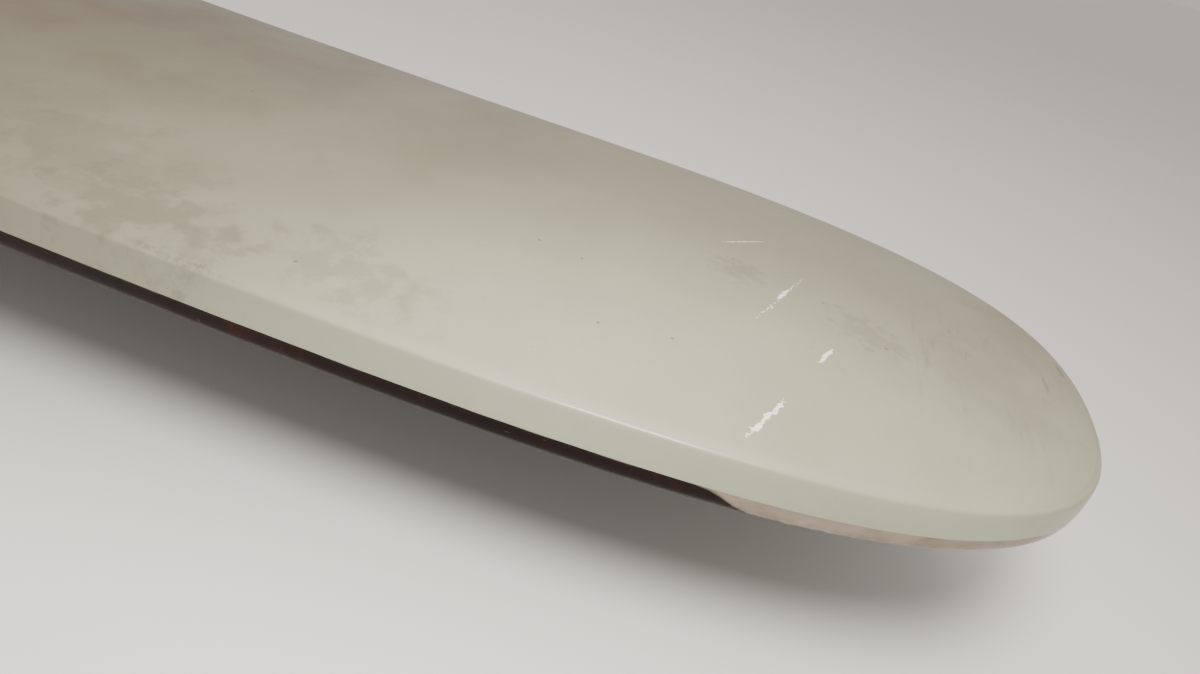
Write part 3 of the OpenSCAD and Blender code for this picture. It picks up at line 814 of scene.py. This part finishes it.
def makeBottomSkin():
    last = lapPoint * stepsPerPoint + 1
    startX, startY = railX[:, 0], railY[:, 0]
    fanX, fanY, fanZ = fanToSpine(startX, startY, bottomAt, skinPieces["bottomSteps"], 1.0)
    order = slice(None, None, -1)
    xs = np.hstack([fanX[:, order], railX[:, :last]])
    ys = np.hstack([fanY[:, order], railY[:, :last]])
    zs = np.hstack([fanZ[:, order], railZ[:, :last]])
    far, near = mirrored(xs, ys, zs)
    # Below the lap line the skin steps in a little
    below = np.linspace(0, 1, last)[::-1]
    stepIn = smoothStep(below, 0.0, 0.06) * (1 - smoothStep(below, 0.6, 1.0))
    drop = np.concatenate([np.zeros(fanX.shape[1]), stepIn])
    lapDown = (zs[:, -1:] - zs) + np.abs(ys[:, -1:] - ys)
    fromNose = boardShape["halfLength"] - xs
    band = smoothStep(fromNose, 0.175, 0.215) * (1 - smoothStep(fromNose, 0.285, 0.325))
    fade = smoothStep(lapDown, 0.002, 0.006) * (1 - smoothStep(lapDown, 0.022, 0.034))
    phase = 2 * math.pi * (fromNose - skinPieces["wrinkleLean"] * lapDown) / skinPieces["wrinklePitch"]
    wave = np.sin(phase + 1.3 * np.sin(phase * 0.37)) * (0.7 + 0.3 * np.sin(phase * 0.23))
    push = skinPieces["lapStep"] * drop[None, :] + skinPieces["wrinkleDepth"] * wave * band * fade
    for grid, side in ((far, 1), (near, -1)):
        grid[:, :, 0] += inward[:, 0][:, None] * push
        grid[:, :, 1] += side * inward[:, 1][:, None] * push
        grid[:, :, 1] = side * np.maximum(side * grid[:, :, 1], 0)
        grid[:, :, 1] -= side * ripple(xs if side > 0 else xs + 0.4) * smoothStep(ys, 0.24, 0.27)
    return skinFrom("bottom_skin", [far[:, ::-1], near[:, ::-1]])


def thicken(skin, thickness):
    solid = skin.modifiers.new("skin", "SOLIDIFY")
    solid.thickness = thickness
    solid.offset = -1
    solid.use_even_offset = False
    applyModifiers(skin)


def orientOutward(skin, upward):
    # Makes the middle of the skin face up or down, as it does on the board
    total = sum(face.normal.z * face.area for face in skin.data.polygons)
    if (total > 0) != upward:
        skin.data.flip_normals()
        skin.data.update()


def storeLapGirth(skin):
    count = len(skin.data.vertices)
    co = np.empty(count * 3, np.float32)
    skin.data.vertices.foreach_get("co", co)
    co = co.reshape(-1, 3).astype(float)
    tree = KDTree(len(denseOutline))
    for index, (x, y) in enumerate(denseOutline):
        tree.insert((x, y, 0), index)
    tree.balance()
    inset = np.array([tree.find((x, abs(y), 0))[2] for x, y, z in co])
    lapZ = rockerAt(co[:, 0]) + 0.4 * boardShape["railHeight"] * thicknessShareAt(co[:, 0])
    girth = np.maximum(lapZ - co[:, 2], 0) + inset
    layer = skin.data.attributes.new("lapGirth", "FLOAT", "POINT")
    layer.data.foreach_set("value", girth.astype(np.float32))


deckSkin = makeDeckSkin()
orientOutward(deckSkin, True)
thicken(deckSkin, boardShape["skin"])
cutWith(deckSkin, [prism("cupCutter", cupOutline(fittings["skinGap"]), -0.03, 0.03, leashCupPlace)])
shadeSmooth(deckSkin, 38)
setMaterial(deckSkin, makeWhiteResin())
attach(deckSkin, "board")
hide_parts("deck_lamination")
print("deck skin:", len(deckSkin.data.vertices), "points")

bottomSkin = makeBottomSkin()
orientOutward(bottomSkin, False)
thicken(bottomSkin, boardShape["skin"])
boxCutters = [prism("boxCutter", boxOutline(fittings["skinGap"]), -0.02, 0.02, centreBoxPlace)]
for side in (1, -1):
    boxCutters.append(prism("sideCutter", sideOutline(fittings["skinGap"]), -0.02, 0.02, sideBoxPlace(side)))
    if side < 0:
        boxCutters[-1].data.flip_normals()
cutWith(bottomSkin, boxCutters)
shadeSmooth(bottomSkin, 38)
storeLapGirth(bottomSkin)
setMaterial(bottomSkin, makeBottomResin())
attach(bottomSkin, "board")
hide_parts("bottom_lamination")
print("bottom skin:", len(bottomSkin.data.vertices), "points")


# Foam cores under the skins, one on each side of the stringer
foamCore = {
    "gap": 1.3 * mm,             # from the outside of the board in to the foam
    "stringerHalf": 2.5 * mm,
    "pocketGap": 0.1 * mm,
}


def makeFoam():
    material, tree, shader, place = newMaterial("sandedFoam")
    cells = addNode(tree, "ShaderNodeTexVoronoi", {"Vector": place, "Scale": 1100.0}).outputs["Distance"]
    age = ramp(tree, noise(tree, place, 12.0, 4), 0.4, 0.7)
    colour = tint(tree, age, (0.86, 0.82, 0.70, 1), (0.74, 0.66, 0.50, 1))
    colour = tint(tree, ramp(tree, cells, 0.3, 0.0, 0.0, 0.4), colour, (0.55, 0.48, 0.36, 1))
    height = calc(tree, "ADD", cells, noise(tree, place, 240.0, 3))
    rough = ramp(tree, cells, 0.0, 0.6, 0.75, 0.95)
    finishWith(tree, shader, colour, rough, height, 0.0003)
    return material


def makeFoamCore(label, side):
    bottomX, bottomY, bottomZ = fanToSpine(railX[:, 0], railY[:, 0], bottomAt, 10, 1.0)
    deckX, deckY, deckZ = fanToSpine(edgeX, edgeY, deckAt, 14, 1.35)
    order = slice(None, None, -1)
    xs = np.hstack([bottomX[:, order], railX[:, ::2], deckX])
    ys = np.hstack([bottomY[:, order], railY[:, ::2], deckY])
    zs = np.hstack([bottomZ[:, order], railZ[:, ::2], deckZ])
    core = skinFrom("foam_core_" + label, mirrored(xs, ys, zs))
    size = foamCore
    work = bmesh.new()
    work.from_mesh(core.data)
    work.normal_update()
    sign = 1 if work.calc_volume(signed=True) > 0 else -1
    for vert in work.verts:
        vert.co -= sign * size["gap"] * vert.normal
    cut = bmesh.ops.bisect_plane(
        work, geom=work.verts[:] + work.edges[:] + work.faces[:],
        plane_co=(0, side * size["stringerHalf"], 0), plane_no=(0, -side, 0), clear_outer=True)
    rim = [item for item in cut["geom_cut"] if isinstance(item, bmesh.types.BMEdge)]
    bmesh.ops.holes_fill(work, edges=rim)
    bmesh.ops.recalc_face_normals(work, faces=work.faces)
    work.to_mesh(core.data)
    work.free()
    spare = 2 * size["pocketGap"]
    cutters = [
        prism("boxPocket", boxOutline(spare), -0.02, 0.0241, centreBoxPlace),
        prism("sidePocket", sideOutline(spare), -0.02, 0.0151, sideBoxPlace(side)),
    ]
    if side > 0:
        cutters.append(prism("cupPocket", cupOutline(spare), -0.0181, 0.02, leashCupPlace))
    for cutter in cutters:
        weld(cutter, 0.0005 * mm)
    cutWith(core, cutters)
    shadeSmooth(core, 30)
    return core


foamMaterial = makeFoam()
for label, side in (("left", 1), ("right", -1)):
    core = makeFoamCore(label, side)
    setMaterial(core, foamMaterial)
    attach(core, "board")
    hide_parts("foam_blank_" + label)
print("foam cores made")


# Glass patch round the centre fin box
finPatch = {
    "middle": -1.100,
    "halfLength": 0.1705,
    "halfWidth": 0.0468,
    "corner": 0.018,
    "thickness": 0.6 * mm,
    "feather": 0.006,
    "colour": (0.085, 0.014, 0.011, 1),
    "thread": (0.30, 0.13, 0.10, 1),
}


def makePatchGlass():
    material, tree, shader, place = newMaterial("patchGlass")
    weave = useGroup(tree, glassWeave, {"Vector": place, "Threads": 520.0})["Height"]
    shown = ramp(tree, weave, 0.25, 0.95, 0.0, 0.30)
    colour = tint(tree, shown, finPatch["colour"], finPatch["thread"])
    cloudy = ramp(tree, noise(tree, place, 18.0, 4), 0.40, 0.75, 0.0, 0.55)
    colour = tint(tree, cloudy, colour, (0.040, 0.006, 0.006, 1))
    hair = useGroup(tree, hairScratches, {"Vector": place, "Turn": 0.05, "Fineness": 520.0, "Share": 0.5})
    colour = tint(tree, calc(tree, "MULTIPLY", hair["Mask"], 0.25), colour, (0.45, 0.38, 0.34, 1))
    rough = ramp(tree, noise(tree, place, 30.0, 3), 0.35, 0.7, 0.20, 0.40)
    height = calc(tree, "ADD", calc(tree, "MULTIPLY", weave, 0.05), noise(tree, place, 60.0, 2))
    finishWith(tree, shader, colour, rough, height, 0.0006)
    return material


def makeFinPatch():
    size = finPatch
    lengthSteps = 90
    widthSteps = 36
    grids = []
    for outer in (True, False):
        points = []
        for i in range(lengthSteps + 1):
            for j in range(widthSteps + 1):
                u = 2 * i / lengthSteps - 1
                v = 2 * j / widthSteps - 1
                # Squeeze the corners so that the sheet's outline is rounded
                overX = max(abs(u) * size["halfLength"] - (size["halfLength"] - size["corner"]), 0)
                pinch = size["corner"] - math.sqrt(max(size["corner"] ** 2 - overX ** 2, 0))
                x = size["middle"] + u * size["halfLength"]
                y = v * (size["halfWidth"] - pinch)
                toSide = (1 - abs(v)) * size["halfWidth"]
                toEnd = (1 - abs(u)) * size["halfLength"]
                feather = smoothStep(min(toSide, toEnd), -0.001, size["feather"])
                sunk = 0.25 * mm
                thick = size["thickness"] * feather + 0.05 * mm if outer else -sunk
                points.append((x, y, float(bottomAt(np.array(x), np.array(y))) - thick))
        grids.append(points)
    columns = widthSteps + 1
    count = len(grids[0])
    faces = gridFaces(lengthSteps + 1, columns)
    faces += [tuple(count + k for k in face[::-1]) for face in gridFaces(lengthSteps + 1, columns)]
    rim = list(range(columns))
    rim += [i * columns + columns - 1 for i in range(1, lengthSteps + 1)]
    rim += [lengthSteps * columns + j for j in range(columns - 2, -1, -1)]
    rim += [i * columns for i in range(lengthSteps - 1, 0, -1)]
    for k in range(len(rim)):
        a = rim[k]
        b = rim[(k + 1) % len(rim)]
        faces.append((a, b, count + b, count + a))
    patch = meshObject("fin_patch_glass", grids[0] + grids[1], faces)
    weld(patch, 0.001 * mm)
    cutWith(patch, [prism("boxCutter", boxOutline(fittings["skinGap"]), -0.02, 0.02, centreBoxPlace)])
    shadeSmooth(patch, 30)
    return patch


patch = makeFinPatch()
patch.data.materials.append(makePatchGlass())
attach(patch, "board")
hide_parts("fin_patch")
print("fin patch:", len(patch.data.vertices), "points")


# Fins
centreFinShape = {
    "base": 0.148, "depth": 0.215, "rake": 0.120, "thick": 8.6 * mm, "top": -0.2 * mm, "cant": 0,
    "heightSteps": 44, "foilSteps": 26,
}
sideFinShape = {
    "base": 0.090, "depth": 0.095, "rake": 0.069, "thick": 5.0 * mm, "top": -1.2 * mm, "cant": 5,
    "heightSteps": 34, "foilSteps": 24,
}
edgeHalf = 0.35 * mm


def bladeRings(shape):
    rings = []
    turns = np.linspace(0, math.pi / 2, shape["heightSteps"] + 1)
    shares = (1 - np.cos(np.linspace(0, math.pi, shape["foilSteps"] + 1))) / 2
    for turn in turns:
        h = math.sin(turn)
        lead = shape["base"] / 2 - (0.78 * shape["base"] + 0.5 * shape["rake"]) * h ** 1.6
        trail = -shape["base"] / 2 - 0.62 * shape["rake"] * math.sin(math.pi / 2 * h)
        tip = 1 if h < 0.8 else math.sqrt(max(1.004 - ((h - 0.8) / 0.2) ** 2, 0.004))
        chord = (lead - trail) * tip
        middle = (lead + trail) / 2
        edge = edgeHalf * (1 - 0.4 * h)
        half = (shape["thick"] / 2 - edge) * (1 - 0.7 * h) * math.sqrt(tip)
        # The root flares out a little where it meets the tab
        flare = 0.25 * mm * math.exp(-h * shape["depth"] / (2.5 * mm))
        foil = np.sqrt(shares) * (1 - shares) ** 0.9 / 0.4016
        rounded = np.sqrt(np.clip(1 - (2 * shares - 1) ** 16, 0, 1))
        thickness = edge * rounded + half * foil + flare * rounded
        xs = middle + chord * (0.5 - shares)
        upper = [(x, t, -h * shape["depth"]) for x, t in zip(xs, thickness)]
        lower = [(x, -t, -h * shape["depth"]) for x, t in zip(xs[-2:0:-1], thickness[-2:0:-1])]
        rings.append(upper + lower)
    return rings


def makeFin(name, shape, place, blocks, holes):
    lean = Matrix.Rotation(math.radians(shape["cant"]), 4, "X")
    lift = Matrix.Translation((0, 0, shape["top"])) @ lean
    rings = bladeRings(shape)
    count = len(rings[0])
    points = [place @ lift @ Vector(p) for ring in rings for p in ring]
    faces = [tuple(range(count)), tuple(range(len(points) - count, len(points)))[::-1]]
    for i in range(len(rings) - 1):
        for j in range(count):
            a = i * count + j
            b = i * count + (j + 1) % count
            faces.append((a, b, b + count, a + count))
    fin = meshObject(name, points, faces)
    weld(fin, 0.0005 * mm)
    for lowX, highX, halfY, lowZ, highZ in blocks:
        outline = [(lowX, -halfY), (highX, -halfY), (highX, halfY), (lowX, halfY)]
        block = prism("tabBlock", outline, lowZ, highZ, place)
        weld(block, 0.0005 * mm)
        join = fin.modifiers.new("join", "BOOLEAN")
        join.operation = "UNION"
        join.solver = "EXACT"
        join.object = block
        applyModifiers(fin)
        bpy.data.objects.remove(block)
    if holes:
        cutters = []
        for x, radius, lowZ, highZ in holes:
            ring = [(x + px, py) for px, py in circle(radius, 40)]
            cutter = prism("holeCutter", ring, lowZ, highZ, place)
            weld(cutter, 0.0005 * mm)
            cutters.append(cutter)
        cutWith(fin, cutters)
    shadeSmooth(fin, 32)
    return fin


finGlass = {
    "core": (0.115, 0.022, 0.016, 1),
    "amber": (0.26, 0.085, 0.035, 1),
    "dark": (0.045, 0.008, 0.008, 1),
    "layers": 2600.0,
}


def makeFinGlass():
    # Sanding through the foil shows the cloth layers as contour lines
    material, tree, shader, place = newMaterial("finGlass")
    parts = addNode(tree, "ShaderNodeSeparateXYZ", {0: place})
    uneven = calc(tree, "MULTIPLY", noise(tree, place, 40.0, 3), 0.0011)
    depth = calc(tree, "ADD", calc(tree, "ABSOLUTE", parts.outputs[1]), uneven)
    bands = calc(tree, "SINE", calc(tree, "MULTIPLY", depth, finGlass["layers"] * 2 * math.pi / 2))
    colour = tint(tree, ramp(tree, bands, -0.6, 0.9, 0.0, 0.5), finGlass["core"], finGlass["amber"])
    weave = noise(tree, scaled(tree, place, (1, 1, 0.25)), 900.0, 2)
    cross = noise(tree, scaled(tree, place, (0.25, 1, 1)), 900.0, 2)
    cloth = ramp(tree, calc(tree, "MULTIPLY", weave, cross), 0.18, 0.36, 0.0, 0.45)
    colour = tint(tree, cloth, colour, finGlass["dark"])
    hair = useGroup(tree, hairScratches, {"Vector": place, "Turn": 0.0, "Fineness": 600.0, "Share": 0.4})
    colour = tint(tree, calc(tree, "MULTIPLY", hair["Mask"], 0.3), colour, (0.5, 0.42, 0.36, 1))
    rough = ramp(tree, noise(tree, place, 22.0, 3), 0.35, 0.7, 0.14, 0.30)
    slow = calc(tree, "MULTIPLY", noise(tree, place, 45.0, 2), 0.6)
    height = calc(tree, "ADD", slow, calc(tree, "MULTIPLY", cloth, 0.03))
    shader.inputs["Coat Weight"].default_value = 0.5
    shader.inputs["Coat Roughness"].default_value = 0.06
    finishWith(tree, shader, colour, rough, height, 0.0006)
    return material


def makeFinPlastic():
    material, tree, shader, place = newMaterial("finPlastic")
    flow = noise(tree, scaled(tree, place, (1.0, 1.0, 0.2)), 120.0, 4, 0.6, 0.8)
    streaky = ramp(tree, flow, 0.40, 0.72, 0.0, 0.8)
    colour = tint(tree, streaky, (0.020, 0.020, 0.022, 1), (0.055, 0.054, 0.055, 1))
    fibres = useGroup(tree, hairScratches, {"Vector": place, "Turn": 0.9, "Fineness": 900.0, "Share": 0.5})
    colour = tint(tree, calc(tree, "MULTIPLY", fibres["Mask"], 0.25), colour, (0.20, 0.19, 0.18, 1))
    rough = ramp(tree, noise(tree, place, 60.0, 4), 0.35, 0.7, 0.26, 0.44)
    height = calc(tree, "ADD", noise(tree, place, 900.0, 2), calc(tree, "MULTIPLY", flow, 0.5))
    finishWith(tree, shader, colour, rough, height, 0.0002)
    return material


tabBlocks = [
    (-0.075, 0.075, 4.6 * mm, -1.0 * mm, 7.0 * mm),
    (-0.075, 0.048, 4.6 * mm, 6.5 * mm, 19.0 * mm),
]
screwHoles = [
    (0.062, 2.25 * mm, -0.003, 0.020),
    (0.062, 3.95 * mm, -0.003, 1.5 * mm),
]
centreFin = makeFin("centre_fin_glass", centreFinShape, centreBoxPlace, tabBlocks, screwHoles)
setMaterial(centreFin, makeFinGlass())
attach(centreFin, "centre_fin")
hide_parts("centre_fin")

finPlastic = makeFinPlastic()
sideBlocks = [
    (-0.046, 0.046, 3.0 * mm, -2.0 * mm, -0.5 * mm),
    (-0.040, 0.040, 3.0 * mm, -1.2 * mm, 12.0 * mm),
]
for label, side in (("left", 1), ("right", -1)):
    fin = makeFin("side_fin_" + label + "_blade", sideFinShape, sideBoxPlace(side), sideBlocks, [])
    setMaterial(fin, finPlastic)
    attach(fin, "board")
    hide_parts("side_fin_" + label)
print("fins made")


# Finishes of the CAD parts that stay
def makeStringerWood():
    material, tree, shader, place = newMaterial("stringerWood")
    drawn = scaled(tree, place, (0.05, 1.0, 1.0))
    rings = noise(tree, drawn, 160.0, 3, 0.55, 1.2)
    pores = noise(tree, drawn, 900.0, 2)
    colour = tint(tree, ramp(tree, rings, 0.35, 0.65), (0.66, 0.47, 0.29, 1), (0.42, 0.26, 0.14, 1))
    colour = tint(tree, ramp(tree, pores, 0.55, 0.75, 0.0, 0.5), colour, (0.24, 0.14, 0.07, 1))
    rough = ramp(tree, rings, 0.3, 0.7, 0.45, 0.65)
    finishWith(tree, shader, colour, rough, calc(tree, "ADD", rings, pores), 0.0003)
    return material


def makeMouldedPlastic(name, base, worn):
    material, tree, shader, place = newMaterial(name)
    feeds = {"Vector": place, "Turn": 0.08, "Fineness": 700.0, "Share": 0.6}
    sanding = useGroup(tree, hairScratches, feeds)
    mottle = ramp(tree, noise(tree, place, 45.0, 4), 0.40, 0.72)
    colour = tint(tree, mottle, base, worn)
    colour = tint(tree, calc(tree, "MULTIPLY", sanding["Mask"], 0.35), colour, (0.36, 0.33, 0.29, 1))
    feeds = {"Vector": place, "Scale": 260.0, "Size": 0.16, "Share": 0.10}
    dirt = useGroup(tree, speckle, feeds)["Mask"]
    colour = tint(tree, calc(tree, "MULTIPLY", dirt, 0.5), colour, (0.14, 0.11, 0.08, 1))
    haze = calc(tree, "MULTIPLY", sanding["Haze"], 0.2)
    rough = calc(tree, "ADD", ramp(tree, mottle, 0.0, 1.0, 0.32, 0.46), haze)
    grooves = calc(tree, "MULTIPLY", sanding["Mask"], -0.6)
    height = calc(tree, "ADD", noise(tree, place, 700.0, 3), grooves)
    finishWith(tree, shader, colour, rough, height, 0.0002)
    return material


def makeSteel():
    material, tree, shader, place = newMaterial("stainlessSteel")
    brushed = noise(tree, scaled(tree, place, (1.0, 0.06, 1.0)), 1500.0, 3)
    colour = tint(tree, ramp(tree, brushed, 0.35, 0.7), (0.70, 0.70, 0.69, 1), (0.50, 0.49, 0.47, 1))
    tarnish = ramp(tree, noise(tree, place, 260.0, 4), 0.55, 0.75, 0.0, 0.5)
    colour = tint(tree, tarnish, colour, (0.32, 0.22, 0.14, 1))
    dulled = calc(tree, "MULTIPLY", tarnish, 0.5)
    rough = calc(tree, "ADD", ramp(tree, brushed, 0.3, 0.7, 0.20, 0.34), dulled)
    shader.inputs["Metallic"].default_value = 1.0
    finishWith(tree, shader, colour, rough, brushed, 0.0001)
    return material


boxPlastic = makeMouldedPlastic("boxPlastic", (0.74, 0.735, 0.70, 1), (0.60, 0.57, 0.50, 1))
cupPlastic = makeMouldedPlastic("cupPlastic", (0.80, 0.795, 0.76, 1), (0.66, 0.62, 0.55, 1))
keptFinishes = {
    "stringer": makeStringerWood(),
    "fin_box": boxPlastic,
    "side_fin_box_left": boxPlastic,
    "side_fin_box_right": boxPlastic,
    "leash_cup": cupPlastic,
    "leash_bar": makeSteel(),
}
for name in ("fin_cross_pin", "fin_screw", "fin_plate", "side_fin_screws"):
    keptFinishes[name] = keptFinishes["leash_bar"]
for name, material in keptFinishes.items():
    setMaterial(nodes[name], material)
print("kept parts finished:", len(keptFinishes))


# Floor, light and camera
studio = {
    "floorColour": (0.93, 0.925, 0.91, 1),
    "floorHalf": 40.0,
    "worldColour": (1.0, 0.945, 0.87, 1),
    "worldStrength": 0.56,
    "cameraPlace": (0.9935, -0.7181, 0.4114),
    "cameraTurn": (56.267, -14.328, 16.662),
    "cameraLens": 23.703,
    # place, aim, size, power, colour
    "keyLight": ((1.02, -0.62, 0.86), (0.93, -0.16, 0.05), 0.38, 15.5, (1.0, 0.99, 0.91)),
    "roomLight": ((0.6, 0.2, 3.0), (0.6, 0.0, 0.0), 3.0, 46.0, (1.0, 0.90, 0.80)),
}


def makeFloor():
    lowest = min(corner.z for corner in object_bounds())
    half = studio["floorHalf"]
    steps = 24
    spread = np.linspace(-half, half, steps + 1)
    points = [(x, y, lowest - 0.001) for x in spread for y in spread]
    floor = meshObject("floor", points, [face[::-1] for face in gridFaces(steps + 1, steps + 1)])
    material, tree, shader, place = newMaterial("paleFloor")
    soft = ramp(tree, noise(tree, place, 1.3, 3), 0.35, 0.7, 0.0, 0.10)
    colour = tint(tree, soft, studio["floorColour"], (0.80, 0.79, 0.77, 1))
    rough = ramp(tree, noise(tree, place, 3.0, 3), 0.3, 0.7, 0.75, 0.9)
    finishWith(tree, shader, colour, rough, noise(tree, place, 90.0, 3), 0.0002)
    floor.data.materials.append(material)
    floor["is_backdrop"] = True


def addAreaLight(name, place, aim, size, power, colour):
    light = bpy.data.lights.new(name, "AREA")
    light.shape = "DISK"
    light.size = size
    light.energy = power
    light.color = colour
    lamp = bpy.data.objects.new(name, light)
    bpy.context.scene.collection.objects.link(lamp)
    lamp.location = place
    lamp.rotation_mode = "QUATERNION"
    lamp.rotation_quaternion = (Vector(aim) - Vector(place)).to_track_quat("-Z", "Y")
    return lamp


def makeStudio():
    makeFloor()
    world = bpy.data.worlds.new("softRoom")
    bpy.context.scene.world = world
    world.use_nodes = True
    back = world.node_tree.nodes["Background"]
    back.inputs["Color"].default_value = studio["worldColour"]
    back.inputs["Strength"].default_value = studio["worldStrength"]
    addAreaLight("keyLight", *studio["keyLight"])
    addAreaLight("roomLight", *studio["roomLight"])
    camera = bpy.data.cameras.new("camera")
    camera.lens = studio["cameraLens"]
    camera.sensor_width = 36.0
    camera.clip_start = 0.01
    viewer = bpy.data.objects.new("camera", camera)
    bpy.context.scene.collection.objects.link(viewer)
    viewer.location = studio["cameraPlace"]
    viewer.rotation_euler = [math.radians(angle) for angle in studio["cameraTurn"]]
    bpy.context.scene.camera = viewer


makeStudio()
print("studio ready")
